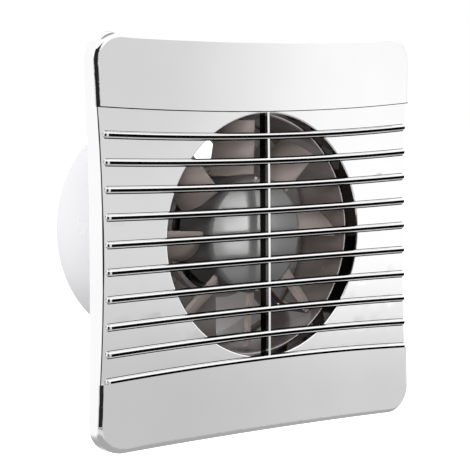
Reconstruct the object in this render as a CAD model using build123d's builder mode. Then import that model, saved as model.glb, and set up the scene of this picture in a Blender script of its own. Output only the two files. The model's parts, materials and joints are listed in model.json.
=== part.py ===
"""Bathroom extractor fan, 100 mm size: chrome front cover, ABS housing with duct spigot,
eight-blade impeller and a small shaded-pole motor carried on a spider inside the duct.

Frame: origin on the duct axis in the plane of the wall, +Z up, +X to the right as seen from the
room, +Y into the wall. The front of the fan faces -Y. All sizes are millimetres.
"""
from build123d import *
from math import cos, hypot, pi, radians, sin, sqrt
import os

# ---------------------------------------------------------------- driving dimensions
# Front cover
COVER_SIZE = 158.7            # width and height over the corners
COVER_BOW = 2.0               # how far the middle of each side lies inside its corners
COVER_CORNER_R = 11.0
COVER_REAR_Y = -10.8          # rear edge of the cover's side walls
COVER_EDGE_Y = -18.2          # front surface at the middle of a left or right edge
COVER_BULGE = 3.9             # middle stands this far in front of the left and right edges
COVER_CROWN = 0.8             # and this far in front of the top and bottom edges
COVER_WALL = 2.0
EDGE_ROUND = 2.5              # rounding of the cover's front perimeter
STRIP_RECESS = 1.4            # flat strips lie this far behind the bars
BEAD_DROP = 0.5               # the bottom band starts this far below the middle of its bead
STRIP_BOW = 5.9               # bow of the tapered strip body, at its front plane
STRIP_PLANE_Y = -24.0         # plane in which STRIP_BOW is measured
STRIP_END_ROUND = 0.6

# Grille
BARS = 9
BAR_PITCH = 10.29             # bar spacing at the left and right edges
BAR_PINCH = 0.56              # the spacing is this much smaller in the middle
BAR_DEPTH = 2.0               # front to back of a bar's body
BAR_INSET = 4.0               # the bars' bodies end this far inside the left and right edges
BAR_STEPS = ((2.5, 1.05), (1.6, 0.4))   # height of each step of a bar, and its depth behind the front
RIB_THICK = 1.8               # bars become thin deep ribs across the aperture
RIB_REAR_Y = -16.9
POST_THICK = 1.0              # upright in the middle of the aperture
POST_REAR_Y = -16.2

# Air path
APERTURE_R = 47.7
COLLAR_WALL = 2.0
COLLAR_REAR_Y = -12.15
RIM_ROUND = 0.7
DUCT_R = 48.9                 # outside of the spigot, for 100 mm ducting
DUCT_WALL = 2.0
SPIGOT_LENGTH = 58.0
INLET_R = 49.4                # outside of the inlet ring, which joins the spigot to the tray
INLET_Y = -11.9               # front edge of the inlet ring

# Housing tray
TRAY_SIZE = 134.0
TRAY_CORNER_R = 8.0
TRAY_BASE = 2.5
TRAY_WALL = 2.0
TRAY_FRONT_Y = -13.0
SCREW_HOLE_X = 58.0           # wall-screw holes at +-X, +-Z
SCREW_HOLE_Z = 30.0
SCREW_HOLE_R = 2.25
PEG_PLACE = 59.0              # distance of the cover's pegs from the axis
PEG_R = 2.5
PEG_TIP_Y = -4.0
PEG_CLEARANCE = 0.15
SOCKET_R = 4.0
GROMMET_X, GROMMET_Z = 12.0, -57.5
GROMMET_HOLE_R = 5.5
CLAMP_X = 26.0
CLAMP_Z = -57.5
CLAMP_SPAN = 4.6              # half distance between the two clamp screws
CLAMP_SEAT_Y = -8.5
CLAMP_SCREW_R = 0.9
BLOCK_X, BLOCK_Z = 49.0, -56.5
BLOCK_WIDTH, BLOCK_HEIGHT, BLOCK_DEPTH = 24.0, 12.0, 8.0
TERMINAL_X = 6.0              # the two poles of the block, left and right of its middle
TERMINAL_Z = 3.0              # each pole has two screws, above and below its middle

# Impeller
BLADES = 8
BLADE_START = 41.5            # angle of the first blade's front edge, from +X towards +Z
BLADE_FRONT_Y = -9.6
BLADE_DEPTH = 14.0            # along the axis, at the root
BLADE_THICK = 1.5
HUB_R = 23.5
HUB_FRONT_Y = -14.5
HUB_REAR_Y = 6.5
HUB_WALL = 1.6
TIP_R = 45.0
SHAFT_R = 2.0
SHAFT_FRONT_Y, SHAFT_REAR_Y = -12.0, 39.0
CLIP_Y = 4.5                  # clip behind the impeller's boss
BOSS_R = 5.0

# Motor
STACK_FRONT_Y, STACK_REAR_Y = 17.0, 31.0
YOKE_R = 25.0
YOKE_WALL = 4.0
POLES = 4
POLE_WIDTH = 9.0
ROTOR_R = 11.0
AIR_GAP = 0.4
SHIELD_FRONT_Y, SHIELD_REAR_Y = 9.2, 38.8
SHIELD_THICK = 1.6
BUSH_R = 5.0
BUSH_LENGTH = 6.4
BUSH_CLEARANCE = 0.03

# Motor carrier
CUP_R = 27.0
CUP_BORE = 25.3
CUP_FRONT_Y, CUP_REAR_Y = 9.2, 41.0
STRUT_WIDTH = 4.0
STRUT_FRONT_Y, STRUT_REAR_Y = 14.6, 24.0
SECTOR_THICK = 1.6            # closed sector of the carrier
RING_R = 46.85
RING_WALL = 1.45
RING_REAR_Y = 26.0
LUG_PLACE = 42.6              # carrier screws' distance from the axis
CARRIER_SCREW_R = 1.2
LEAD_R = 0.8
LEAD_ANGLE = -45.0            # the two motor leads run along this strut
LEAD_SPREAD = 1.05            # each lead's distance from the middle of the strut


# ---------------------------------------------------------------- helpers
def facing(y):
    """Plane across the duct axis at depth y: local x is +X, local y is +Z, normal is -Y."""
    return Plane.XZ.offset(-y)


def rod(rear, front, radius, at=((0, 0),), mode=Mode.ADD, hole=0.0):
    """Round bars or tubes along Y between two depths, in the part that is being built."""
    with BuildSketch(facing(rear)) as profile:
        with Locations(*at):
            Circle(radius)
            if hole:
                Circle(hole, mode=Mode.SUBTRACT)
    extrude(to_extrude=profile.sketch, amount=rear - front, mode=mode)


def block(rear, front, width, height, at=((0, 0),), mode=Mode.ADD, turn=0.0):
    """Rectangular bars along Y between two depths, in the part that is being built."""
    with BuildSketch(facing(rear)) as profile:
        with Locations(*at):
            Rectangle(width, height, rotation=turn)
    extrude(to_extrude=profile.sketch, amount=rear - front, mode=mode)


def polar(radius, angle):
    """Point (x, z) at a radius and an angle from +X towards +Z."""
    return (radius * cos(radians(angle)), radius * sin(radians(angle)))


def screws(places, rear, front, shank_r, head_r, head_depth):
    """Pan-head screws along Y: shank tip at rear, top of the head at front."""
    rod(rear, front + head_depth, shank_r, at=places)
    rod(front + head_depth, front, head_r, at=places)
    block(front + 0.5 * head_depth, front, 0.4 * head_r, 1.5 * head_r, at=places, mode=Mode.SUBTRACT)
    block(front + 0.5 * head_depth, front, 1.5 * head_r, 0.4 * head_r, at=places, mode=Mode.SUBTRACT)


def finish(builder, name):
    """Label a finished piece and write its file."""
    builder.part.label = name
    export_step(builder.part, "parts/" + name + ".step")


def bowed_square(size, bow, corner_r, y):
    """Square with inward-bowed sides and rounded corners, in the plane at depth y."""
    half = size / 2
    corners = [(-half, -half), (half, -half), (half, half), (-half, half)]
    middles = [(0, bow - half), (half - bow, 0), (0, half - bow), (bow - half, 0)]
    with BuildSketch(facing(y)) as outline:
        with BuildLine():
            for i in range(4):
                ThreePointArc(corners[i], middles[i], corners[(i + 1) % 4])
        make_face()
        fillet(outline.vertices(), corner_r)
    return outline.sketch


# Front surface of the cover: an upright barrel, an arc in the YZ plane turned about an upright axis.
HALF = COVER_SIZE / 2
MID_Y = COVER_EDGE_Y - COVER_BULGE
BARREL_R = (HALF ** 2 + COVER_BULGE ** 2) / (2 * COVER_BULGE)
BARREL_AXIS_Y = MID_Y + BARREL_R
CROWN_R = (HALF ** 2 + COVER_CROWN ** 2) / (2 * COVER_CROWN)


def front_y(x, z):
    """Depth of the cover's front surface at (x, z)."""
    profile_y = MID_Y + CROWN_R - sqrt(CROWN_R ** 2 - z ** 2)
    return BARREL_AXIS_Y - sqrt((BARREL_AXIS_Y - profile_y) ** 2 - x ** 2)


def behind_front(inset):
    """Everything that lies more than inset behind the cover's front surface."""
    reach = HALF + 6
    with BuildPart() as region:
        with BuildSketch(Plane.YZ) as profile:
            with BuildLine():
                crown = ThreePointArc((front_y(0, reach) + inset, -reach), (MID_Y + inset, 0),
                                      (front_y(0, reach) + inset, reach))
                Polyline(crown @ 1, (BARREL_AXIS_Y, reach), (BARREL_AXIS_Y, -reach), crown @ 0)
            make_face()
        revolve(axis=Axis((0, BARREL_AXIS_Y, 0), (0, 0, 1)))
    return region.part


def bar_z(k, x):
    """Height of the middle of bar k at x; k = 0 is the middle bar, half numbers lie between."""
    return k * (BAR_PITCH - BAR_PINCH * (1 - (x / HALF) ** 2))


def bar_strip(k, height):
    """Flat curved strip that follows bar k, height tall, in the sketch that is being built."""
    end = HALF + 3
    if k == 0:
        Rectangle(2 * end, height)
        return
    with BuildLine() as border:
        low = ThreePointArc((-end, bar_z(k, end) - height / 2), (0, bar_z(k, 0) - height / 2),
                            (end, bar_z(k, end) - height / 2))
        top = ThreePointArc((-end, bar_z(k, end) + height / 2), (0, bar_z(k, 0) + height / 2),
                            (end, bar_z(k, end) + height / 2))
        Line(low @ 0, top @ 0)
        Line(low @ 1, top @ 1)
    make_face(edges=border.edges())


def band_region(side, shift):
    """Area above (side 1) or below (side -1) the outermost strip, in the current sketch."""
    end = HALF + 3
    k = side * (BARS + 1) / 2
    with BuildLine() as border:
        edge = ThreePointArc((-end, bar_z(k, end) + shift), (0, bar_z(k, 0) + shift),
                             (end, bar_z(k, end) + shift))
        Polyline(edge @ 1, (end, side * end), (-end, side * end), edge @ 0)
    make_face(edges=border.edges())


def bar_numbers():
    """Numbers of the bars, from the bead along the bottom band to the highest bar."""
    return [i - (BARS + 1) // 2 for i in range(BARS + 1)]


os.makedirs("parts", exist_ok=True)

# ---------------------------------------------------------------- front cover
# Full outer shape with its rounded front edge, which the bands and the bars' ends follow.
with BuildPart() as cover_envelope:
    extrude(to_extrude=bowed_square(COVER_SIZE, COVER_BOW, COVER_CORNER_R, COVER_REAR_Y), amount=16)
    add(behind_front(0), mode=Mode.INTERSECT)
    front_edges = cover_envelope.faces().sort_by(Axis.Y)[0].edges()
    fillet(front_edges, EDGE_ROUND)

with BuildPart() as cover_hollow:
    extrude(to_extrude=bowed_square(COVER_SIZE - 5, COVER_BOW + 1, COVER_CORNER_R - 2, COVER_REAR_Y),
            amount=16)
    add(behind_front(STRIP_RECESS + COVER_WALL), mode=Mode.INTERSECT)

with BuildPart() as cover_bands:
    with BuildSketch(facing(COVER_REAR_Y)):
        band_region(1, 0)
        band_region(-1, -BEAD_DROP)
    extrude(amount=16)
    add(cover_envelope.part, mode=Mode.INTERSECT)

# Bars between the strips, stepped towards their crests.
with BuildPart() as bar_bodies:
    for height, inset in BAR_STEPS:
        with BuildSketch(facing(RIB_REAR_Y + 2)) as bar_outlines:
            for k in bar_numbers():
                bar_strip(k, height)
        extrude(to_extrude=bar_outlines.sketch, amount=10)
        add(behind_front(inset), mode=Mode.INTERSECT)
    add(behind_front(BAR_DEPTH), mode=Mode.SUBTRACT)
    bar_ends = bowed_square(COVER_SIZE - 2 * BAR_INSET, COVER_BOW, COVER_CORNER_R, COVER_REAR_Y)
    extrude(to_extrude=bar_ends, amount=16, mode=Mode.INTERSECT)

with BuildPart() as aperture_ribs:
    with BuildSketch(facing(RIB_REAR_Y)):
        for k in bar_numbers():
            bar_strip(k, RIB_THICK)
        Circle(APERTURE_R + COLLAR_WALL / 2, mode=Mode.INTERSECT)
    extrude(amount=8)
    add(behind_front(1.5), mode=Mode.INTERSECT)

with BuildPart() as aperture_post:
    with BuildSketch(facing(POST_REAR_Y)):
        Circle(APERTURE_R + COLLAR_WALL / 2)
        Rectangle(POST_THICK, COVER_SIZE, mode=Mode.INTERSECT)
    extrude(amount=8)
    add(behind_front(0.7), mode=Mode.INTERSECT)

with BuildPart() as front_cover:
    # tapered body of the flat strips
    loft(sections=[bowed_square(COVER_SIZE, COVER_BOW, COVER_CORNER_R, COVER_REAR_Y),
                   bowed_square(COVER_SIZE, STRIP_BOW, COVER_CORNER_R, STRIP_PLANE_Y)], ruled=True)
    add(behind_front(STRIP_RECESS), mode=Mode.INTERSECT)
    fillet(front_cover.faces().sort_by(Axis.Y)[0].edges(), STRIP_END_ROUND)
    add(cover_bands.part)
    add(cover_hollow.part, mode=Mode.SUBTRACT)
    rod(0, -30, APERTURE_R, mode=Mode.SUBTRACT)
    rim_edges = front_cover.edges().filter_by(
        lambda e: abs(hypot((e @ 0.5).X, (e @ 0.5).Z) - APERTURE_R) < 0.05 and (e @ 0.5).Y < -18)
    fillet(rim_edges, RIM_ROUND)
    # collar that reaches back to the housing's inlet ring
    rod(COLLAR_REAR_Y, MID_Y + STRIP_RECESS + COVER_WALL + 1, APERTURE_R + COLLAR_WALL, hole=APERTURE_R)
    add([bar_bodies.part, aperture_ribs.part, aperture_post.part])
    # push-fit pegs, rooted in the cover's wall
    rod(PEG_TIP_Y, front_y(PEG_PLACE, 0) + STRIP_RECESS + 1, PEG_R, at=((PEG_PLACE, 0), (-PEG_PLACE, 0)))
    rod(PEG_TIP_Y, front_y(0, PEG_PLACE) + STRIP_RECESS + 1, PEG_R, at=((0, PEG_PLACE), (0, -PEG_PLACE)))
finish(front_cover, "front_cover")

# ---------------------------------------------------------------- housing
LEAD_OUT = polar(1.0, LEAD_ANGLE)             # direction from the axis towards the lead channel
WALL_HOLES = ((SCREW_HOLE_X, SCREW_HOLE_Z), (-SCREW_HOLE_X, SCREW_HOLE_Z),
              (SCREW_HOLE_X, -SCREW_HOLE_Z), (-SCREW_HOLE_X, -SCREW_HOLE_Z))
PEG_PLACES = ((PEG_PLACE, 0), (-PEG_PLACE, 0), (0, PEG_PLACE), (0, -PEG_PLACE))
CLAMP_PLACES = ((CLAMP_X, CLAMP_Z + CLAMP_SPAN), (CLAMP_X, CLAMP_Z - CLAMP_SPAN))
LUG_PLACES = tuple(polar(LUG_PLACE, 90 * i) for i in range(4))
LUG_FRONT_Y = RING_REAR_Y - 2.5               # the carrier's lugs lie on the housing's bosses


def lead_channel(rear):
    """Cut through the duct wall for the motor leads, in the part that is being built."""
    block(rear, -7, 6.0, 4 * LEAD_SPREAD + 0.2, at=(polar(DUCT_R - DUCT_WALL / 2, LEAD_ANGLE),),
          turn=LEAD_ANGLE, mode=Mode.SUBTRACT)


with BuildPart() as back_housing:
    # tray against the wall
    with BuildSketch(facing(0)):
        RectangleRounded(TRAY_SIZE, TRAY_SIZE, TRAY_CORNER_R)
    extrude(amount=-TRAY_FRONT_Y)
    with BuildSketch(facing(-TRAY_BASE)):
        RectangleRounded(TRAY_SIZE - 2 * TRAY_WALL, TRAY_SIZE - 2 * TRAY_WALL, TRAY_CORNER_R - TRAY_WALL)
    extrude(amount=20, mode=Mode.SUBTRACT)
    # sockets for the cover's pegs, and screw bosses
    rod(-TRAY_BASE, -11.5, SOCKET_R, at=PEG_PLACES)
    rod(-1, -11.5, PEG_R + PEG_CLEARANCE, at=PEG_PLACES, mode=Mode.SUBTRACT)
    rod(-TRAY_BASE, -4.5, 4.5, at=WALL_HOLES)
    rod(0, -4.5, SCREW_HOLE_R, at=WALL_HOLES, mode=Mode.SUBTRACT)
    rod(-TRAY_BASE, CLAMP_SEAT_Y, 2.0, at=CLAMP_PLACES)
    rod(-1, CLAMP_SEAT_Y, CLAMP_SCREW_R, at=CLAMP_PLACES, mode=Mode.SUBTRACT)
    # supply cable entry
    rod(0, -TRAY_BASE, GROMMET_HOLE_R, at=((GROMMET_X, GROMMET_Z),), mode=Mode.SUBTRACT)
    # stiffening ribs between the inlet ring and the tray's wall
    for angle in (22.5, 67.5, 112.5, 157.5, 202.5, 247.5):
        block(-TRAY_BASE + 0.2, -7, 13.5, 1.4, at=(polar(DUCT_R + 6.5, angle),), turn=angle)
    # seat of the spigot, which is welded in, and the channel for the motor leads
    rod(0, TRAY_FRONT_Y, INLET_R, mode=Mode.SUBTRACT)
    lead_channel(0)
finish(back_housing, "back_housing")

with BuildPart() as spigot:
    # inlet ring, and the tube that enters the duct
    rod(0, INLET_Y, INLET_R)
    rod(SPIGOT_LENGTH, 0, DUCT_R)
    rod(SPIGOT_LENGTH, INLET_Y, DUCT_R - DUCT_WALL, mode=Mode.SUBTRACT)
    rear_edge = spigot.edges().filter_by(GeomType.CIRCLE).group_by(Axis.Y)[-1].sort_by(SortBy.RADIUS)[-1]
    chamfer(rear_edge, 0.8)
    # bosses inside the duct for the motor carrier
    with BuildSketch(facing(RING_REAR_Y + 10)):
        with Locations(*LUG_PLACES):
            Circle(3.0)
        for i in range(4):
            with Locations(polar(LUG_PLACE + 2.2, 90 * i)):
                Rectangle(5.2, 6.0, rotation=90 * i)
    extrude(amount=10)
    rod(RING_REAR_Y + 8, RING_REAR_Y, CARRIER_SCREW_R, at=LUG_PLACES, mode=Mode.SUBTRACT)
    lead_channel(STRUT_FRONT_Y + 4)
finish(spigot, "spigot")

with BuildPart() as cable_grommet:
    grommet_at = ((GROMMET_X, GROMMET_Z),)
    rod(-0.6, -TRAY_BASE, GROMMET_HOLE_R - 0.05, at=grommet_at)
    rod(-TRAY_BASE, -TRAY_BASE - 1.6, GROMMET_HOLE_R + 1.6, at=grommet_at)
    rod(0, -5, 3.4, at=grommet_at, mode=Mode.SUBTRACT)
finish(cable_grommet, "cable_grommet")

with BuildPart() as cable_clamp:
    block(CLAMP_SEAT_Y, CLAMP_SEAT_Y - 2.2, 5.5, 2 * CLAMP_SPAN + 4.2, at=((CLAMP_X, CLAMP_Z),))
    rod(CLAMP_SEAT_Y, -14, CLAMP_SCREW_R + 0.3, at=CLAMP_PLACES, mode=Mode.SUBTRACT)
finish(cable_clamp, "cable_clamp")

with BuildPart() as cable_clamp_screws:
    screws(CLAMP_PLACES, CLAMP_SEAT_Y + 5, CLAMP_SEAT_Y - 3.6, CLAMP_SCREW_R - 0.05, 1.9, 1.4)
finish(cable_clamp_screws, "cable_clamp_screws")

# ---------------------------------------------------------------- terminal block
BLOCK_FRONT_Y = -TRAY_BASE - BLOCK_DEPTH
TERMINALS = tuple((BLOCK_X + x, BLOCK_Z + z) for x in (-TERMINAL_X, TERMINAL_X)
                  for z in (-TERMINAL_Z, TERMINAL_Z))
WIRE_Y = -6.0                                  # wires enter the block at this depth

with BuildPart() as terminal_block:
    block(-TRAY_BASE, BLOCK_FRONT_Y, BLOCK_WIDTH, BLOCK_HEIGHT, at=((BLOCK_X, BLOCK_Z),))
    block(-TRAY_BASE - 3, BLOCK_FRONT_Y, 1.5, BLOCK_HEIGHT, at=((BLOCK_X - 1.75, BLOCK_Z),
          (BLOCK_X + 1.75, BLOCK_Z)), mode=Mode.SUBTRACT)
    rod(-TRAY_BASE - 1, BLOCK_FRONT_Y, 1.6, at=TERMINALS, mode=Mode.SUBTRACT)
    rod(-TRAY_BASE - 2, BLOCK_FRONT_Y, 0.8, at=((BLOCK_X, BLOCK_Z),), mode=Mode.SUBTRACT)
    with BuildSketch(Plane.XY.offset(BLOCK_Z - BLOCK_HEIGHT / 2)):
        with Locations((BLOCK_X - TERMINAL_X, WIRE_Y), (BLOCK_X + TERMINAL_X, WIRE_Y)):
            Circle(1.3)
    extrude(amount=BLOCK_HEIGHT, mode=Mode.SUBTRACT)
finish(terminal_block, "terminal_block")

with BuildPart() as terminal_screws:
    screws(TERMINALS, WIRE_Y - LEAD_R, BLOCK_FRONT_Y - 0.3, 1.5, 1.5, 1.2)
finish(terminal_screws, "terminal_screws")

with BuildPart() as terminal_cover:
    block(BLOCK_FRONT_Y - 0.5, BLOCK_FRONT_Y - 1.9, BLOCK_WIDTH + 2.8, BLOCK_HEIGHT + 1,
          at=((BLOCK_X, BLOCK_Z),))
    block(-TRAY_BASE - 2, BLOCK_FRONT_Y - 0.5, 1.2, BLOCK_HEIGHT + 1,
          at=((BLOCK_X - BLOCK_WIDTH / 2 - 0.8, BLOCK_Z), (BLOCK_X + BLOCK_WIDTH / 2 + 0.8, BLOCK_Z)))
    rod(0, -20, 1.0, at=((BLOCK_X, BLOCK_Z),), mode=Mode.SUBTRACT)
finish(terminal_cover, "terminal_cover")

with BuildPart() as terminal_cover_screw:
    screws(((BLOCK_X, BLOCK_Z),), -TRAY_BASE - 2.5, BLOCK_FRONT_Y - 3.1, 0.75, 1.8, 1.2)
finish(terminal_cover_screw, "terminal_cover_screw")

# ---------------------------------------------------------------- motor carrier
MOTOR_SCREW_R = 1.0
MOTOR_SCREW_PLACES = (polar(YOKE_R - YOKE_WALL / 2, 45), polar(YOKE_R - YOKE_WALL / 2, 225))

with BuildPart() as motor_carrier:
    rod(CUP_REAR_Y, CUP_FRONT_Y, CUP_R)
    rod(CUP_REAR_Y - 1.8, CUP_FRONT_Y, CUP_BORE, mode=Mode.SUBTRACT)
    # vent holes in the cup's end
    rod(CUP_REAR_Y, CUP_REAR_Y - 1.8, 2.0, at=tuple(polar(14, 60 * i) for i in range(6)),
        mode=Mode.SUBTRACT)
    rod(RING_REAR_Y, STRUT_FRONT_Y, RING_R, hole=RING_R - RING_WALL)
    strut_length = RING_R - CUP_R - 0.4
    for i in range(4):
        angle = 45 + 90 * i
        block(STRUT_REAR_Y, STRUT_FRONT_Y, strut_length + 0.6, STRUT_WIDTH,
              at=(polar(CUP_R + strut_length / 2 - 0.4, angle),), turn=angle)
    # closed sector between the lower left strut and the bottom lug
    with BuildSketch(facing(STRUT_FRONT_Y + SECTOR_THICK)) as sector:
        Polygon((0, 0), polar(2 * RING_R, 225), polar(2 * RING_R, 270), align=None)
        Circle(RING_R - RING_WALL / 2, mode=Mode.INTERSECT)
        Circle(CUP_R - 0.5, mode=Mode.SUBTRACT)
    extrude(to_extrude=sector.sketch, amount=SECTOR_THICK)
    # lugs screwed to the bosses inside the duct
    with BuildSketch(facing(RING_REAR_Y)):
        for i in range(4):
            with Locations(polar(LUG_PLACE, 90 * i)):
                Circle(3.0)
            with Locations(polar(LUG_PLACE + 1.5, 90 * i)):
                Rectangle(3.4, 6.0, rotation=90 * i)
    extrude(amount=RING_REAR_Y - LUG_FRONT_Y)
    rod(RING_REAR_Y, LUG_FRONT_Y, CARRIER_SCREW_R + 0.25, at=LUG_PLACES, mode=Mode.SUBTRACT)
    # notch in the cup's rim where the leads come out, and in the ring where they pass
    block(STRUT_FRONT_Y, CUP_FRONT_Y, 5.0, 4 * LEAD_SPREAD + 0.2, at=(polar(CUP_R - 1, LEAD_ANGLE),),
          turn=LEAD_ANGLE, mode=Mode.SUBTRACT)
finish(motor_carrier, "motor_carrier")

with BuildPart() as carrier_screws:
    screws(LUG_PLACES, RING_REAR_Y + 7, LUG_FRONT_Y - 1.8, CARRIER_SCREW_R - 0.05, 2.6, 1.8)
finish(carrier_screws, "carrier_screws")

# ---------------------------------------------------------------- impeller
def blade_section(radius, tangent, depth, lean):
    """Curved blade outline at a radius: x is tangential, y is along the axis, in the blade's frame."""
    plane = Plane(origin=(radius, BLADE_FRONT_Y + lean, 0), x_dir=(0, 0, 1), z_dir=(1, 0, 0))
    # local x runs towards +Z, local y towards -Y
    half = BLADE_THICK / 2
    with BuildSketch(plane) as section:
        with BuildLine():
            chord = (tangent, -depth)
            length = hypot(*chord)
            side = (depth / length * half, tangent / length * half)
            belly = (tangent / 2 + 0.09 * depth, -depth / 2 + 0.09 * tangent)
            upper = ThreePointArc((side[0], side[1]), (belly[0] + side[0], belly[1] + side[1]),
                                  (chord[0] + side[0], chord[1] + side[1]))
            lower = ThreePointArc((-side[0], -side[1]), (belly[0] - side[0], belly[1] - side[1]),
                                  (chord[0] - side[0], chord[1] - side[1]))
            Line(upper @ 0, lower @ 0)
            Line(upper @ 1, lower @ 1)
        make_face()
    return section.sketch


with BuildPart() as blade:
    loft(sections=[blade_section(HUB_R - 1.2, 11.5, BLADE_DEPTH, 0.0),
                   blade_section(TIP_R + 1.5, 9.0, BLADE_DEPTH - 1.5, 0.8)], ruled=True)
    rod(20, -20, TIP_R, mode=Mode.INTERSECT)

with BuildPart() as impeller:
    # hub shell with a slightly domed face
    with BuildSketch(Plane.XY) as hub_profile:
        with BuildLine():
            face = ThreePointArc((0, HUB_FRONT_Y), (HUB_R * 0.55, HUB_FRONT_Y + 0.45),
                                 (HUB_R - 2.0, HUB_FRONT_Y + 1.6))
            edge = ThreePointArc((HUB_R - 2.0, HUB_FRONT_Y + 1.6), (HUB_R - 0.55, HUB_FRONT_Y + 2.5),
                                 (HUB_R, HUB_FRONT_Y + 4.1))
            Polyline((HUB_R, HUB_FRONT_Y + 4.1), (HUB_R, HUB_REAR_Y), (HUB_R - HUB_WALL, HUB_REAR_Y),
                     (HUB_R - HUB_WALL, HUB_FRONT_Y + 4.4), (HUB_R - 3.6, HUB_FRONT_Y + 3.2),
                     (0, HUB_FRONT_Y + 1.7), (0, HUB_FRONT_Y))
        make_face()
    revolve(axis=Axis.Y)
    # boss pressed on to the shaft, and ribs that stiffen the hub from inside
    rod(4, HUB_FRONT_Y + 1, BOSS_R)
    for i in range(4):
        block(0, HUB_FRONT_Y + 1.5, HUB_R - BOSS_R - 0.5, 1.2,
              at=(polar((HUB_R + BOSS_R) / 2 - 0.6, 90 * i),), turn=90 * i)
    rod(4, SHAFT_FRONT_Y, SHAFT_R, mode=Mode.SUBTRACT)
    for i in range(BLADES):
        add(blade.part.rotate(Axis.Y, -(BLADE_START + 360 / BLADES * i)))
finish(impeller, "impeller")

# ---------------------------------------------------------------- rotating parts of the motor
ROTOR_RING_DEPTH = 1.8

with BuildPart() as motor_shaft:
    rod(SHAFT_REAR_Y, SHAFT_FRONT_Y, SHAFT_R)
    rod(CLIP_Y + 0.35, CLIP_Y - 0.35, SHAFT_R, hole=SHAFT_R - 0.4, mode=Mode.SUBTRACT)
finish(motor_shaft, "motor_shaft")

with BuildPart() as shaft_clip:
    rod(CLIP_Y + 0.3, CLIP_Y - 0.3, SHAFT_R + 1.5, hole=SHAFT_R - 0.35)
    block(CLIP_Y + 0.3, CLIP_Y - 0.3, 2.4, 4, at=((0, 2.5),), mode=Mode.SUBTRACT)
finish(shaft_clip, "shaft_clip")

with BuildPart() as rotor_core:
    rod(STACK_REAR_Y, STACK_FRONT_Y, ROTOR_R, hole=SHAFT_R)
    # skewed cage bars show as shallow slots on the rotor's surface
    block(STACK_REAR_Y, STACK_FRONT_Y, 0.8, 0.8,
          at=tuple(polar(ROTOR_R, 20 * i) for i in range(18)), mode=Mode.SUBTRACT)
finish(rotor_core, "rotor_core")

with BuildPart() as rotor_end_rings:
    rod(STACK_FRONT_Y, STACK_FRONT_Y - ROTOR_RING_DEPTH, ROTOR_R - 0.6, hole=BUSH_R + 1.9)
    rod(STACK_REAR_Y + ROTOR_RING_DEPTH, STACK_REAR_Y, ROTOR_R - 0.6, hole=BUSH_R + 1.9)
finish(rotor_end_rings, "rotor_end_rings")

with BuildPart() as thrust_washers:
    rod(STACK_FRONT_Y - 0.4, STACK_FRONT_Y - 1.2, BUSH_R - 0.4, hole=SHAFT_R + 0.05)
    rod(STACK_REAR_Y + 1.2, STACK_REAR_Y + 0.4, BUSH_R - 0.4, hole=SHAFT_R + 0.05)
finish(thrust_washers, "thrust_washers")

# ---------------------------------------------------------------- fixed parts of the motor
POLE_ROOT = YOKE_R - YOKE_WALL                 # radius at which the poles meet the yoke
POLE_FACE = ROTOR_R + AIR_GAP
COIL_IN, COIL_OUT = 14.2, 18.4                 # radii between which the coils lie
BOBBIN_WALL = 0.8
COIL_THICK = 3.2

with BuildPart() as stator_core:
    rod(STACK_REAR_Y, STACK_FRONT_Y, YOKE_R, hole=POLE_ROOT)
    for i in range(POLES):
        block(STACK_REAR_Y, STACK_FRONT_Y, YOKE_R - ROTOR_R - 2, POLE_WIDTH,
              at=(polar((YOKE_R + ROTOR_R - 2) / 2, 90 * i),), turn=90 * i)
        block(STACK_REAR_Y, STACK_FRONT_Y, 2.4, 14.4, at=(polar(POLE_FACE + 1.0, 90 * i),), turn=90 * i)
    rod(STACK_REAR_Y, STACK_FRONT_Y, POLE_FACE, mode=Mode.SUBTRACT)
    rod(STACK_REAR_Y, STACK_FRONT_Y, MOTOR_SCREW_R + 0.2, at=MOTOR_SCREW_PLACES, mode=Mode.SUBTRACT)
finish(stator_core, "stator_core")


def around_pole(i, inner, outer, near, far, mode=Mode.ADD):
    """Rectangular sleeve round pole i, between two gaps off the pole and two radii."""
    height = STACK_REAR_Y - STACK_FRONT_Y
    direction = (cos(radians(90 * i)), 0, sin(radians(90 * i)))
    middle = (STACK_FRONT_Y + STACK_REAR_Y) / 2
    plane = Plane(origin=(direction[0] * near, middle, direction[2] * near), x_dir=(0, 1, 0),
                  z_dir=direction)
    with BuildSketch(plane) as ring:
        Rectangle(height + 2 * outer, POLE_WIDTH + 2 * outer)
        Rectangle(height + 2 * inner, POLE_WIDTH + 2 * inner, mode=Mode.SUBTRACT)
    extrude(to_extrude=ring.sketch, amount=far - near, mode=mode)


with BuildPart() as coil_bobbins:
    for i in range(POLES):
        around_pole(i, 0.1, 0.1 + BOBBIN_WALL, COIL_IN - 0.5, COIL_OUT + 0.4)
finish(coil_bobbins, "coil_bobbins")

with BuildPart() as pole_coils:
    for i in range(POLES):
        around_pole(i, 0.1 + BOBBIN_WALL, 0.1 + BOBBIN_WALL + COIL_THICK, COIL_IN, COIL_OUT)
finish(pole_coils, "pole_coils")

with BuildPart() as shading_rings:
    for i in range(POLES):
        place = polar(POLE_FACE + 0.9, 90 * i)
        shift = polar(5.9, 90 * i + 90)
        for rear, front in ((STACK_FRONT_Y, STACK_FRONT_Y - 1.0), (STACK_REAR_Y + 1.0, STACK_REAR_Y)):
            block(rear, front, 1.6, 2.4, at=((place[0] + shift[0], place[1] + shift[1]),), turn=90 * i)
finish(shading_rings, "shading_rings")

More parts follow.
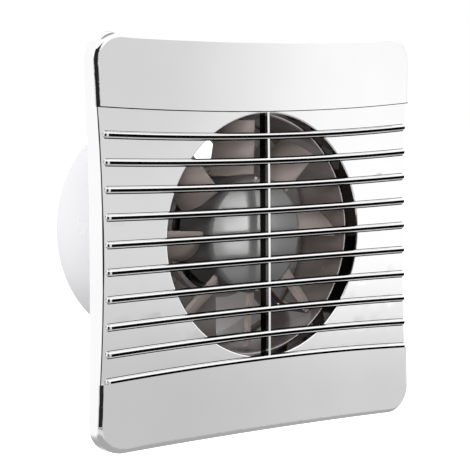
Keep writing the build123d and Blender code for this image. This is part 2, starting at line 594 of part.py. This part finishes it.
with BuildPart() as front_end_shield:
    rod(SHIELD_FRONT_Y + SHIELD_THICK, SHIELD_FRONT_Y, YOKE_R, hole=BUSH_R)
    rod(STACK_FRONT_Y, SHIELD_FRONT_Y, YOKE_R, hole=YOKE_R - 1.6)
    rod(SHIELD_FRONT_Y + BUSH_LENGTH, SHIELD_FRONT_Y, BUSH_R + 1.4, hole=BUSH_R)
    for place in MOTOR_SCREW_PLACES:
        rod(STACK_FRONT_Y, SHIELD_FRONT_Y, 2.2, at=(place,))
    rod(STACK_FRONT_Y, SHIELD_FRONT_Y, MOTOR_SCREW_R + 0.2, at=MOTOR_SCREW_PLACES, mode=Mode.SUBTRACT)
    rod(SHIELD_FRONT_Y + 1.2, SHIELD_FRONT_Y, 2.2, at=MOTOR_SCREW_PLACES, mode=Mode.SUBTRACT)
    block(STRUT_FRONT_Y, SHIELD_FRONT_Y, 9, 4 * LEAD_SPREAD + 0.2, at=(polar(YOKE_R, LEAD_ANGLE),),
          turn=LEAD_ANGLE, mode=Mode.SUBTRACT)
finish(front_end_shield, "front_end_shield")

with BuildPart() as rear_end_shield:
    rod(SHIELD_REAR_Y, SHIELD_REAR_Y - SHIELD_THICK, YOKE_R, hole=BUSH_R)
    rod(SHIELD_REAR_Y, STACK_REAR_Y, YOKE_R, hole=YOKE_R - 1.6)
    rod(SHIELD_REAR_Y, SHIELD_REAR_Y - BUSH_LENGTH, BUSH_R + 1.4, hole=BUSH_R)
    for place in MOTOR_SCREW_PLACES:
        rod(SHIELD_REAR_Y, STACK_REAR_Y, 2.2, at=(place,))
    rod(SHIELD_REAR_Y, STACK_REAR_Y, MOTOR_SCREW_R, at=MOTOR_SCREW_PLACES, mode=Mode.SUBTRACT)
finish(rear_end_shield, "rear_end_shield")

with BuildPart() as front_bush:
    rod(SHIELD_FRONT_Y + BUSH_LENGTH, SHIELD_FRONT_Y, BUSH_R, hole=SHAFT_R + BUSH_CLEARANCE)
finish(front_bush, "front_bush")

with BuildPart() as rear_bush:
    rod(SHIELD_REAR_Y, SHIELD_REAR_Y - BUSH_LENGTH, BUSH_R, hole=SHAFT_R + BUSH_CLEARANCE)
finish(rear_bush, "rear_bush")

with BuildPart() as motor_through_screws:
    screws(MOTOR_SCREW_PLACES, SHIELD_REAR_Y - 0.5, SHIELD_FRONT_Y, MOTOR_SCREW_R, 2.1, 1.2)
finish(motor_through_screws, "motor_through_screws")

# ---------------------------------------------------------------- motor leads
LEAD_Y = 13.6                                  # depth of the leads in front of the strut


def on_strut(out, across, y):
    """Point at a distance from the axis along the lead strut, and across it."""
    x, z = polar(out, LEAD_ANGLE)
    dx, dz = polar(across, LEAD_ANGLE + 90)
    return (x + dx, y, z + dz)


def lead(name, side, ending, radii):
    """One insulated lead: from its coil along the strut and the duct channel to the block."""
    coil_side = POLE_WIDTH / 2 + 0.15 + BOBBIN_WALL + COIL_THICK
    coil_middle = (COIL_IN + COIL_OUT) / 2
    start = ((coil_middle, LEAD_Y, -coil_side) if side > 0 else (coil_side, LEAD_Y, -coil_middle))
    points = [start,
              on_strut(22.6, side * LEAD_SPREAD, LEAD_Y),
              on_strut(DUCT_R - DUCT_WALL / 2, side * LEAD_SPREAD, LEAD_Y),
              on_strut(DUCT_R - DUCT_WALL / 2, side * LEAD_SPREAD, WIRE_Y),
              on_strut(DUCT_R + 5, side * LEAD_SPREAD, WIRE_Y)] + ending
    with BuildPart() as wire:
        with BuildLine() as route:
            FilletPolyline(*points, radius=radii)
        with BuildSketch(Plane(origin=route.line @ 0, z_dir=route.line % 0)):
            Circle(LEAD_R)
        sweep(path=route.line)
    finish(wire, name)
    length = sum(piece.length for piece in route.edges())
    print(name, "length", round(length, 1), "volume over section times length",
          round(wire.part.volume / (pi * LEAD_R ** 2 * length), 4))


block_top = BLOCK_Z + BLOCK_HEIGHT / 2
lead("motor_lead_live", 1, [(BLOCK_X + TERMINAL_X, WIRE_Y, -41.0),
                            (BLOCK_X + TERMINAL_X, WIRE_Y, block_top - 4)], [2.5, 3.0, 2.6, 3.0, 3.0])
lead("motor_lead_neutral", -1, [(BLOCK_X - TERMINAL_X, WIRE_Y, -43.0),
                                (BLOCK_X - TERMINAL_X, WIRE_Y, block_top - 4)], [2.5, 3.0, 2.6, 3.0, 3.0])
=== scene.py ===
"""Bathroom extractor fan: looks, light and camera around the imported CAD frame. Lengths are metres."""
import json
import math

import bpy
from mathutils import Matrix, Vector


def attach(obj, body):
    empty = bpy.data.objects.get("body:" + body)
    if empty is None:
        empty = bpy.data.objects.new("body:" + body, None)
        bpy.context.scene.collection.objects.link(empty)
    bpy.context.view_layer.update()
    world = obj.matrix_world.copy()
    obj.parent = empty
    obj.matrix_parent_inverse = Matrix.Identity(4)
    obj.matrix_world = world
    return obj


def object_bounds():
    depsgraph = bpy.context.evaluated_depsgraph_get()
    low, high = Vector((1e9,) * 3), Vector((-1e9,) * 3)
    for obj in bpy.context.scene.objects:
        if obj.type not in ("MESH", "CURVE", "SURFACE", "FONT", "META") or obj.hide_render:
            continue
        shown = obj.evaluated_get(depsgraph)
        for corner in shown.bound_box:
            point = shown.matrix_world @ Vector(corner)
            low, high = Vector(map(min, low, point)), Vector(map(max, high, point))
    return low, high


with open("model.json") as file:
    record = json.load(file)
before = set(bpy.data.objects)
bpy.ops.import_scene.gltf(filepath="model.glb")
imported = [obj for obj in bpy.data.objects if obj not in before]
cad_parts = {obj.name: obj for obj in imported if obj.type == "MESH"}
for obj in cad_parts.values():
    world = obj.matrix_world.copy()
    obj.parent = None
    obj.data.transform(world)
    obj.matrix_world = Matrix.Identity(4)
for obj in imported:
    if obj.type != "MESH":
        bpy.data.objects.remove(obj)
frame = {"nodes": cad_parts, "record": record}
nodes = frame["nodes"]
cad_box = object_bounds()

MM = 0.001
FINE_GRAIN = 900.0             # waves per metre of moulded and metal relief
RAMP_START = 0.3               # noise values where a mottled finish's two colours are reached
RAMP_END = 0.7
APERTURE_WALL_R = 47.8 * MM    # inside the aperture the cover is painted near black as shade ...
SHADE_PAINTED_FROM_Y = -19.65 * MM  # ... from this depth on
# radius inside which the white plastic is painted dark grey as shade
SHADED_BORE_R = 47.5 * MM
HUB_R = 23.75 * MM


# ---------------------------------------------------------------- node helpers
class Shader:
    """A material's node tree with its Principled shader, and short ways to add nodes."""

    def __init__(self, name, roughness, metallic=0.0, ior=1.5, coat=0.0):
        self.material = bpy.data.materials.new(name)
        self.material.use_nodes = True
        self.tree = self.material.node_tree
        self.surface = self.tree.nodes["Principled BSDF"]
        self.surface.inputs["Roughness"].default_value = roughness
        self.surface.inputs["Metallic"].default_value = metallic
        self.surface.inputs["IOR"].default_value = ior
        self.surface.inputs["Coat Weight"].default_value = coat
        self.coords = self.tree.nodes.new("ShaderNodeTexCoord").outputs["Object"]

    def link(self, source, target):
        self.tree.links.new(source, target)

    def noise(self, scale, detail=3.0):
        """Noise over the object's own coordinates; scale is in waves per metre."""
        texture = self.tree.nodes.new("ShaderNodeTexNoise")
        texture.inputs["Scale"].default_value = scale
        texture.inputs["Detail"].default_value = detail
        self.link(self.coords, texture.inputs["Vector"])
        return texture.outputs["Fac"]

    def ramp(self, value, low, high):
        """A colour or grey that runs from low to high with value."""
        node = self.tree.nodes.new("ShaderNodeValToRGB")
        node.color_ramp.elements[0].position = RAMP_START
        node.color_ramp.elements[1].position = RAMP_END
        node.color_ramp.elements[0].color = as_colour(low)
        node.color_ramp.elements[1].color = as_colour(high)
        self.link(value, node.inputs["Fac"])
        return node.outputs["Color"]

    def colour(self, low, high, scale):
        """Mottled base colour between two close colours."""
        self.link(self.ramp(self.noise(scale), low, high), self.surface.inputs["Base Color"])

    def vary_roughness(self, low, high, scale):
        self.link(self.ramp(self.noise(scale), low, high), self.surface.inputs["Roughness"])

    def axis(self, letter):
        """The object's own X, Y or Z coordinate."""
        split = self.tree.nodes.new("ShaderNodeSeparateXYZ")
        self.link(self.coords, split.inputs["Vector"])
        return split.outputs[letter]

    def facing_rear(self):
        """1 where the surface faces straight back, -1 where it faces straight to the front."""
        split = self.tree.nodes.new("ShaderNodeSeparateXYZ")
        self.link(self.coords.node.outputs["Normal"], split.inputs["Vector"])
        return split.outputs["Y"]

    def distance_from_axis(self):
        """Distance from the duct's axis."""
        across = self.tree.nodes.new("ShaderNodeCombineXYZ")
        self.link(self.axis("X"), across.inputs["X"])
        self.link(self.axis("Z"), across.inputs["Y"])
        length = self.tree.nodes.new("ShaderNodeVectorMath")
        length.operation = "LENGTH"
        self.link(across.outputs["Vector"], length.inputs[0])
        return length.outputs["Value"]

    def map_range(self, value, start, end):
        """0 before start and 1 after end; end may be the smaller."""
        node = self.tree.nodes.new("ShaderNodeMapRange")
        node.inputs["From Min"].default_value = start
        node.inputs["From Max"].default_value = end
        self.link(value, node.inputs["Value"])
        return node.outputs["Result"]

    def inside(self, radius, blur):
        """1 nearer to the duct's axis than radius and 0 beyond it."""
        return self.map_range(self.distance_from_axis(), radius + blur, radius - blur)

    def product(self, a, b):
        node = self.tree.nodes.new("ShaderNodeMath")
        node.operation = "MULTIPLY"
        self.link(a, node.inputs[0])
        self.link(b, node.inputs[1])
        return node.outputs["Value"]

    def mix(self, factor, a, b, target):
        """Set a socket of the surface to colour a where factor is 0 and b where it is 1."""
        node = self.tree.nodes.new("ShaderNodeMix")
        node.data_type = "RGBA"
        self.link(factor, node.inputs["Factor"])
        self.link(a, node.inputs["A"])
        self.link(b, node.inputs["B"])
        self.link(node.outputs["Result"], self.surface.inputs[target])

    def bump(self, value, depth, strength=1.0):
        """Surface relief of a depth in metres."""
        node = self.tree.nodes.new("ShaderNodeBump")
        node.inputs["Distance"].default_value = depth
        node.inputs["Strength"].default_value = strength
        self.link(value, node.inputs["Height"])
        self.link(node.outputs["Normal"], self.surface.inputs["Normal"])


def as_colour(value):
    """A grey or an RGB triple as the RGBA that Blender wants."""
    if isinstance(value, (int, float)):
        return (value, value, value, 1.0)
    return (value[0], value[1], value[2], 1.0)


# ---------------------------------------------------------------- materials
def chrome():
    """Chrome plating over moulded plastic: polished in front, dull behind; inside the aperture its colour is
    a painted shade of near black.
    """
    shader = Shader("polished_chrome", 0.035, metallic=1.0)
    plated = shader.ramp(shader.noise(30.0), (0.90, 0.90, 0.905), (0.93, 0.93, 0.93))
    # painted shade: near-black colour on the inner wall of the aperture, where shade falls
    painted_collar_shade = shader.ramp(shader.noise(80.0), (0.045, 0.04, 0.036), (0.06, 0.054, 0.05))
    inside = shader.inside(APERTURE_WALL_R, 0.02 * MM)
    deep = shader.map_range(shader.axis("Y"), SHADE_PAINTED_FROM_Y - 0.25 * MM, SHADE_PAINTED_FROM_Y + 0.25 * MM)
    shader.mix(shader.product(inside, deep), plated, painted_collar_shade, "Base Color")
    polished = shader.ramp(shader.noise(60.0), 0.03, 0.055)
    dull = shader.ramp(shader.noise(60.0), 0.3, 0.38)
    shader.mix(shader.map_range(shader.facing_rear(), 0.3, 0.6), polished, dull, "Roughness")
    shader.bump(shader.noise(22.0, detail=1.0), 0.02 * MM, 0.25)
    return shader.material


def glossy_white():
    """Glossy white ABS; inside the air path its colour is a painted shade of dark grey."""
    shader = Shader("glossy_white_abs", 0.22, coat=0.15)
    white = shader.ramp(shader.noise(40.0), (0.86, 0.865, 0.90), (0.88, 0.885, 0.915))
    # painted shade: dark grey colour on the white plastic inside the air path
    painted_bore_shade = shader.ramp(shader.noise(55.0), (0.165, 0.143, 0.136), (0.2, 0.175, 0.167))
    shader.mix(shader.inside(SHADED_BORE_R, 0.2 * MM), white, painted_bore_shade, "Base Color")
    shader.vary_roughness(0.2, 0.28, 90.0)
    shader.bump(shader.noise(700.0, detail=2.0), 0.01 * MM, 0.15)
    return shader.material


def moulded(name, low, high, roughness, ior=1.5):
    """Moulded plastic or rubber with a fine grain."""
    shader = Shader(name, roughness, ior=ior)
    shader.colour(low, high, 45.0)
    shader.vary_roughness(roughness * 0.85, roughness * 1.2, 120.0)
    shader.bump(shader.noise(FINE_GRAIN, detail=2.0), 0.02 * MM, 0.2)
    return shader.material


def impeller_plastic():
    """Satin ABS: brownish with dust on the blades, plain grey on the hub."""
    shader = Shader("grey_brown_abs", 0.33, coat=0.05)
    dusty = shader.ramp(shader.noise(45.0), (0.19, 0.163, 0.153), (0.23, 0.2, 0.188))
    plain = shader.ramp(shader.noise(45.0), (0.07, 0.07, 0.07), (0.082, 0.082, 0.082))
    shader.mix(shader.inside(HUB_R, 0.15 * MM), dusty, plain, "Base Color")
    shader.vary_roughness(0.3, 0.36, 120.0)
    shader.bump(shader.noise(FINE_GRAIN, detail=2.0), 0.02 * MM, 0.12)
    return shader.material


def metal(name, low, high, roughness):
    """Bare metal with fine marks from drawing, turning or casting."""
    shader = Shader(name, roughness, metallic=1.0)
    shader.colour(low, high, 150.0)
    shader.vary_roughness(roughness * 0.7, roughness * 1.3, 400.0)
    shader.bump(shader.noise(FINE_GRAIN), 0.02 * MM, 0.3)
    return shader.material


def laminations():
    """Edges of thin steel sheets stacked along the duct axis."""
    shader = Shader("stacked_laminations", 0.42, metallic=0.9)
    wave = shader.tree.nodes.new("ShaderNodeTexWave")
    wave.bands_direction = "Y"
    wave.inputs["Scale"].default_value = 320.0
    wave.inputs["Distortion"].default_value = 0.4
    shader.link(shader.coords, wave.inputs["Vector"])
    shader.link(shader.ramp(wave.outputs["Fac"], 0.16, 0.42), shader.surface.inputs["Base Color"])
    shader.bump(wave.outputs["Fac"], 0.05 * MM, 0.6)
    return shader.material


def enamelled_wire():
    """Copper winding: fine turns round the pole."""
    shader = Shader("enamelled_copper", 0.32, metallic=0.85)
    wave = shader.tree.nodes.new("ShaderNodeTexWave")
    wave.wave_type = "RINGS"
    wave.rings_direction = "SPHERICAL"
    wave.inputs["Scale"].default_value = 500.0
    wave.inputs["Distortion"].default_value = 0.3
    shader.link(shader.coords, wave.inputs["Vector"])
    shader.link(shader.ramp(wave.outputs["Fac"], (0.28, 0.09, 0.035), (0.78, 0.34, 0.16)),
                shader.surface.inputs["Base Color"])
    shader.bump(wave.outputs["Fac"], 0.08 * MM, 0.8)
    return shader.material


FINISHES = {
    "chrome_cover": chrome(),
    "white_plastic": glossy_white(),
    "impeller_plastic": impeller_plastic(),
    "carrier_plastic": moulded("dusty_grey_abs", (0.24, 0.228, 0.22), (0.3, 0.285, 0.275), 0.42),
    "lamination_steel": laminations(),
    "bright_steel": metal("zinc_plated_steel", (0.55, 0.55, 0.56), (0.72, 0.72, 0.72), 0.28),
    "cast_aluminium": metal("cast_aluminium", (0.5, 0.5, 0.51), (0.66, 0.66, 0.67), 0.45),
    "copper": enamelled_wire(),
    "bronze": metal("sintered_bronze", (0.42, 0.24, 0.1), (0.56, 0.35, 0.16), 0.4),
    "bobbin_plastic": moulded("natural_nylon", (0.62, 0.55, 0.4), (0.72, 0.65, 0.5), 0.4),
    "terminal_plastic": moulded("white_nylon", (0.76, 0.76, 0.73), (0.84, 0.84, 0.81), 0.4),
    "brass": metal("turned_brass", (0.65, 0.45, 0.18), (0.8, 0.6, 0.28), 0.25),
    "grommet_rubber": moulded("black_rubber", (0.012, 0.012, 0.012), (0.03, 0.03, 0.03), 0.7),
    "brown_insulation": moulded("brown_insulation", (0.07, 0.045, 0.035), (0.09, 0.055, 0.042), 0.5),
    "blue_insulation": moulded("blue_insulation", (0.05, 0.065, 0.11), (0.06, 0.08, 0.14), 0.5),
}


def dress_frame():
    """Give every CAD node the finish of its material slot."""
    for part in frame["record"]["subparts"]:
        node = nodes[part["node"]]
        node.data.materials.clear()
        node.data.materials.append(FINISHES[part["material_slot"]])


dress_frame()

# ---------------------------------------------------------------- bars of the grille
COVER_HALF = 79.35 * MM
COVER_BOW = 2.0 * MM
COVER_MIDDLE_Y = -22.1 * MM
COVER_BULGE = 3.9 * MM
COVER_CROWN = 0.8 * MM
BARREL_R = (COVER_HALF ** 2 + COVER_BULGE ** 2) / (2 * COVER_BULGE)
BARREL_AXIS_Y = COVER_MIDDLE_Y + BARREL_R
CROWN_R = (COVER_HALF ** 2 + COVER_CROWN ** 2) / (2 * COVER_CROWN)
BARS = 9
BAR_PITCH = 10.29 * MM
BAR_PINCH = 0.56 * MM
BAR_R = 1.3 * MM
BAR_BACK = 2.2 * MM
BAR_LEFT_INSET = 2.6 * MM
BAR_RIGHT_INSET = 1.2 * MM
BAR_END_R = 1.3 * MM
CREST_DEPTH = 0.05 * MM
FOOT_DEPTH = 1.28 * MM
FOOT_ABOVE = 0.16 * MM
FOOT_BELOW = 0.3 * MM
LIP_HEIGHT = 0.3 * MM
LINE_TOP = 0.36 * MM
LINE_BOTTOM = -0.68 * MM
LINE_DEPTH = 0.26 * MM
LINE_LEFT_GAP = 2.0 * MM
LINE_RIGHT_GAP = 0.5 * MM
LINE_END_STEP = 0.03 * MM
LIP_END_GAP = 0.6 * MM
ARC_STEPS = 9
BAR_STEPS = 72
LIP_STEPS = 80
CREASE = math.radians(32)
SHADOW_FEET = (0, 1, 23, 24)     # sides of the bar's section that are black: painted shadow gaps where the bar meets the strips
# sides of the section in the bar's groove, black where the bar is lined: a painted shadow line
SHADOW_GROOVE = (11, 12, 13)


def front_y(x, z):
    """Depth of the cover's front surface at (x, z)."""
    profile_y = COVER_MIDDLE_Y + CROWN_R - math.sqrt(CROWN_R ** 2 - z ** 2)
    return BARREL_AXIS_Y - math.sqrt((BARREL_AXIS_Y - profile_y) ** 2 - x ** 2)


def bar_point(k, x):
    """Point of the cover's front surface on the middle of bar k; k = 0 is the middle bar."""
    z = k * (BAR_PITCH - BAR_PINCH * (1 - (x / COVER_HALF) ** 2))
    return Vector((x, front_y(x, z), z))


def side_x(z):
    """Half width of the cover at height z."""
    return COVER_HALF - COVER_BOW * (1 - (z / COVER_HALF) ** 2)


def surface_frame(k, x):
    """Point on bar k, the outward normal and the direction across the bar."""
    small = 0.01 * MM
    point = bar_point(k, x)
    along = (bar_point(k, x + small) - bar_point(k, x - small)).normalized()
    slope_x = (front_y(x + small, point.z) - front_y(x - small, point.z)) / (2 * small)
    slope_z = (front_y(x, point.z + small) - front_y(x, point.z - small)) / (2 * small)
    outward = Vector((slope_x, -1, slope_z)).normalized()
    return point, outward, outward.cross(along).normalized()


def nose_depth(across):
    """How far the half-round nose falls back at a distance across the bar."""
    return BAR_R - math.sqrt(max(BAR_R ** 2 - across ** 2, 0.0))


def bar_section(lined):
    """Closed section of a bar as (across, depth) pairs, from the lower back round the nose."""
    def arc(start, end):
        angles = [start + (end - start) * i / ARC_STEPS for i in range(ARC_STEPS + 1)]
        return [(BAR_R * math.sin(angle), BAR_R - BAR_R * math.cos(angle)) for angle in angles]

    floor = LINE_DEPTH if lined else nose_depth(LINE_TOP) + 0.005 * MM
    lower = arc(-math.pi / 2, math.asin(LINE_BOTTOM / BAR_R))
    upper = arc(math.asin(LINE_TOP / BAR_R), math.pi / 2)
    below, above = -BAR_R - FOOT_BELOW, BAR_R + FOOT_ABOVE
    return ([(below, BAR_BACK), (below, FOOT_DEPTH), (-BAR_R, FOOT_DEPTH)] + lower[1:]
            + [(LINE_BOTTOM, floor), (LINE_TOP, floor)] + upper[:-1]
            + [(BAR_R, FOOT_DEPTH), (above, FOOT_DEPTH), (above, BAR_BACK)])


def swept_piece(name, rings, materials, chosen):
    """Closed piece on the cover through rings of points; chosen(ring, side) gives a face's material."""
    count = len(rings[0])
    points = [point for ring in rings for point in ring]
    faces, material_numbers = [tuple(range(count))], [0]
    for i in range(len(rings) - 1):
        for j in range(count):
            following = (j + 1) % count
            faces.append((i * count + j, (i + 1) * count + j, (i + 1) * count + following,
                          i * count + following))
            material_numbers.append(chosen(i, j))
    faces.append(tuple(reversed(range(len(points) - count, len(points)))))
    material_numbers.append(0)
    mesh = bpy.data.meshes.new(name)
    mesh.from_pydata(points, [], faces)
    for material in materials:
        mesh.materials.append(material)
    mesh.polygons.foreach_set("material_index", material_numbers)
    mesh.shade_smooth()
    mesh.set_sharp_from_angle(angle=CREASE)
    piece = bpy.data.objects.new(name, mesh)
    bpy.context.scene.collection.objects.link(piece)
    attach(piece, "cover")


def add_bar(k):
    """One chrome bar with a half-round nose, rounded ends, a fine black line along it that is a painted
    shadow line, and black feet that are painted shadow gaps.
    """
    reach = side_x(bar_point(k, COVER_HALF).z)
    left, right = BAR_LEFT_INSET - reach, reach - BAR_RIGHT_INSET
    line_start, line_end = left + LINE_LEFT_GAP, right - LINE_RIGHT_GAP
    rounding = [BAR_END_R * t for t in (0.0005, 0.02, 0.07, 0.16, 0.3, 0.5, 0.75, 1.0)]
    places = {left + e for e in rounding} | {right - e for e in rounding}
    straight = right - left - 2 * BAR_END_R
    places |= {left + BAR_END_R + straight * i / BAR_STEPS for i in range(1, BAR_STEPS)}
    places |= {line_start, line_start + LINE_END_STEP, line_end - LINE_END_STEP, line_end}
    places = sorted(places)
    rings = []
    for x in places:
        point, outward, across = surface_frame(k, x)
        from_end = min(x - left, right - x, BAR_END_R)
        scale = math.sqrt(1 - (1 - from_end / BAR_END_R) ** 2)
        lined = line_start + LINE_END_STEP / 3 < x < line_end - LINE_END_STEP / 3
        ring = []
        for side, depth in bar_section(lined):
            depth = BAR_BACK - (BAR_BACK - depth) * scale
            ring.append(point + across * side * scale - outward * (depth + CREST_DEPTH))
        rings.append(ring)

    def chosen(ring, side):
        # material 1 is the black of the painted shadow lines and gaps
        return int(side in SHADOW_FEET or side in SHADOW_GROOVE and line_start <= places[ring] < line_end)

    swept_piece("bar_%d" % (k + (BARS + 1) // 2), rings, [FINISHES["chrome_cover"], PAINTED_SHADOW_LINE], chosen)


def add_band_lip():
    """Shadow line along the lower edge of the top band."""
    k = (BARS + 1) // 2
    reach = side_x(bar_point(k, COVER_HALF).z) - LIP_END_GAP
    section = [(-LIP_HEIGHT, 1.5 * MM), (-LIP_HEIGHT, 0.12 * MM), (0, 0.04 * MM), (0, 1.5 * MM)]
    rings = []
    for i in range(LIP_STEPS + 1):
        point, outward, across = surface_frame(k, -reach + 2 * reach * i / LIP_STEPS)
        rings.append([point + across * side - outward * depth for side, depth in section])
    swept_piece("band_lip", rings, [PAINTED_SHADOW_LINE], lambda ring, side: 0)


# painted shadow: near-black matt material without reflection, for the bars' lines and feet and the band lip
PAINTED_SHADOW_LINE = moulded("painted_shadow_line", (0.001, 0.001, 0.001), (0.002, 0.002, 0.002), 0.8, ior=1.0)
for k in range(-(BARS + 1) // 2, (BARS - 1) // 2 + 1):
    add_bar(k)
add_band_lip()


# ---------------------------------------------------------------- stage, light and camera
CAMERA_PLACE = Vector((-0.4424, -0.5666, 0.0555))
CAMERA_TURN = math.radians(-37.951)
CAMERA_DIP = math.radians(4.506)
CAMERA_ROLL = math.radians(-0.371)
LENS = 137.5
SENSOR = 36.0
FLOOR_DROP = 0.30
FLOOR_SIZE = 30.0


def add_camera():
    """Camera at the front left of the fan and a little above it, with a long lens."""
    data = bpy.data.cameras.new("camera")
    data.lens = LENS
    data.sensor_width = SENSOR
    camera = bpy.data.objects.new("camera", data)
    bpy.context.scene.collection.objects.link(camera)
    turn = Matrix.Rotation(CAMERA_TURN, 4, "Z")
    dip = Matrix.Rotation(math.radians(90) - CAMERA_DIP, 4, "X")
    roll = Matrix.Rotation(CAMERA_ROLL, 4, "Z")
    camera.matrix_world = Matrix.Translation(CAMERA_PLACE) @ turn @ dip @ roll
    bpy.context.scene.camera = camera


def add_floor():
    """Pale floor well below the fan, which neither the chrome nor the soft light sees."""
    half = FLOOR_SIZE / 2
    z = cad_box[0][2] - FLOOR_DROP
    mesh = bpy.data.meshes.new("floor")
    mesh.from_pydata([(-half, -half, z), (half, -half, z), (half, half, z), (-half, half, z)], [],
                     [(0, 1, 2, 3)])
    floor = bpy.data.objects.new("floor", mesh)
    bpy.context.scene.collection.objects.link(floor)
    shader = Shader("pale_floor", 0.9)
    shader.surface.inputs["Base Color"].default_value = (0.9, 0.9, 0.9, 1)
    shader.surface.inputs["Emission Color"].default_value = (1, 1, 1, 1)
    shader.surface.inputs["Emission Strength"].default_value = 0.9
    mesh.materials.append(shader.material)
    floor.visible_glossy = False
    floor.visible_diffuse = False


def add_area(name, place, target, size, power, colour=(1, 1, 1), glossy=False):
    """Soft box at place that points at target; the chrome mirrors it only if it is glossy."""
    data = bpy.data.lights.new(name, "AREA")
    data.shape = "RECTANGLE"
    data.size, data.size_y = size
    data.energy = power
    data.color = colour
    light = bpy.data.objects.new(name, data)
    light.location = place
    light.rotation_euler = (Vector(target) - Vector(place)).to_track_quat("-Z", "Y").to_euler()
    light.visible_glossy = glossy
    bpy.context.scene.collection.objects.link(light)
    return light


class Sky:
    """World shader: plain white to the camera, and a studio of cards round the object otherwise."""

    def __init__(self):
        self.world = bpy.data.worlds.new("studio")
        self.world.use_nodes = True
        bpy.context.scene.world = self.world
        self.tree = self.world.node_tree
        self.tree.nodes.clear()
        coords = self.tree.nodes.new("ShaderNodeTexCoord")
        split = self.tree.nodes.new("ShaderNodeSeparateXYZ")
        self.tree.links.new(coords.outputs["Generated"], split.inputs["Vector"])
        self.x, self.y, self.z = split.outputs
        forward = self.math("MULTIPLY", self.y, -1.0)
        self.azimuth = self.math("MULTIPLY", self.math("ARCTAN2", self.x, forward), 180 / math.pi)
        self.elevation = self.math("MULTIPLY", self.math("ARCSINE", self.z), 180 / math.pi)

    def math(self, operation, a, b=None, c=None):
        """Result of a math node on numbers or sockets."""
        node = self.tree.nodes.new("ShaderNodeMath")
        node.operation = operation
        for socket, value in zip(node.inputs, (a, b, c)):
            if value is None:
                continue
            if isinstance(value, (int, float)):
                socket.default_value = value
            else:
                self.tree.links.new(value, socket)
        return node.outputs[0]

    def step(self, value, start, end):
        """0 below start, 1 above end, smooth between; end may be the smaller."""
        node = self.tree.nodes.new("ShaderNodeMapRange")
        node.interpolation_type = "SMOOTHSTEP"
        low, high = min(start, end), max(start, end)
        node.inputs["From Min"].default_value = low
        node.inputs["From Max"].default_value = high
        node.inputs["To Min"].default_value = 0.0 if start < end else 1.0
        node.inputs["To Max"].default_value = 1.0 if start < end else 0.0
        self.tree.links.new(value, node.inputs["Value"])
        return node.outputs["Result"]

    def window(self, value, start, end, soft):
        """1 between start and end, with soft borders."""
        return self.math("MULTIPLY", self.step(value, start - soft, start + soft),
                         self.step(value, end + soft, end - soft))

    def card(self, below, brightness, azimuths, elevations, soft=3.0, soft_up=3.0):
        """Lay a card over what is below it and return the new brightness; no azimuths is all round."""
        mask = self.window(self.elevation, elevations[0], elevations[1], soft_up)
        if azimuths is not None:
            mask = self.math("MULTIPLY", mask, self.window(self.azimuth, azimuths[0], azimuths[1], soft))
        node = self.tree.nodes.new("ShaderNodeMix")
        node.data_type = "FLOAT"
        self.tree.links.new(mask, node.inputs["Factor"])
        for socket, value in ((node.inputs["A"], below), (node.inputs["B"], brightness)):
            if isinstance(value, (int, float)):
                socket.default_value = value
            else:
                self.tree.links.new(value, socket)
        return node.outputs["Result"]

    def finish(self, brightness):
        """Show the cards to the object and plain white to the camera."""
        background = self.tree.nodes.new("ShaderNodeBackground")
        self.tree.links.new(brightness, background.inputs["Color"])
        white = self.tree.nodes.new("ShaderNodeBackground")
        white.inputs["Color"].default_value = (1, 1, 1, 1)
        path = self.tree.nodes.new("ShaderNodeLightPath")
        mix = self.tree.nodes.new("ShaderNodeMixShader")
        output = self.tree.nodes.new("ShaderNodeOutputWorld")
        self.tree.links.new(path.outputs["Is Camera Ray"], mix.inputs["Fac"])
        self.tree.links.new(background.outputs["Background"], mix.inputs[1])
        self.tree.links.new(white.outputs["Background"], mix.inputs[2])
        self.tree.links.new(mix.outputs["Shader"], output.inputs["Surface"])


def add_studio():
    """Cards that the chrome mirrors: azimuth 0 is straight in front, positive to the right."""
    sky = Sky()
    # wide soft card in front and at the right: it brightens to the right, and its foot is grey
    front = (-4.0, 100.0)
    rise = sky.math("MULTIPLY_ADD", sky.step(sky.azimuth, 26.0, 48.0), 0.35, 0.745)
    fall = sky.math("MULTIPLY_ADD", sky.step(sky.elevation, -4.0, 3.0), -0.05, 1.0)
    rise = sky.math("MULTIPLY", rise, fall)
    grey = sky.math("MULTIPLY_ADD", sky.step(sky.azimuth, 30.0, 50.0), 0.08, 0.60)
    light = sky.card(0.75, rise, front, (-60.0, 14.0), soft=4.0)
    light = sky.card(light, grey, front, (-60.0, -8.0), soft=4.0)
    # white ceiling, darker straight above
    light = sky.card(light, 1.1, None, (14.0, 70.0))
    light = sky.card(light, 0.35, None, (70.0, 91.0))
    # dark room round the camera
    light = sky.card(light, 0.02, (-78.0, -6.0), (-13.5, 36.0), soft=6.0, soft_up=2.5)
    # white sheet at the left and behind
    light = sky.card(light, 1.04, (-181.0, -95.0), (-30.0, 60.0), soft=8.0)
    # grey table underneath
    light = sky.card(light, 0.42, None, (-91.0, -30.0), soft_up=6.0)
    sky.finish(light)


def light_only(light, nodes_lit):
    """The light falls on these nodes alone, and only they cast its shadows."""
    group = bpy.data.collections.new(light.name + "_receivers")
    for node in nodes_lit:
        group.objects.link(node)
    light.light_linking.receiver_collection = group
    light.light_linking.blocker_collection = group


add_floor()
add_studio()
add_area("key_softbox", (0.5, -0.9, 1.0), (0, 0, 0), (0.9, 0.9), 9.0)
add_area("fill_card", (-0.41, -0.53, 0.09), (0, 0, 0), (0.26, 0.26), 3.6, colour=(1, 0.965, 0.945))
hub_glow = add_area("hub_softbox", (0.25, -0.47, 0.0), (-0.008, -0.014, 0.0), (0.13, 0.17), 1.9, glossy=True)
light_only(hub_glow, [nodes["impeller"]])
add_camera()
bpy.context.scene.view_settings.view_transform = "Standard"
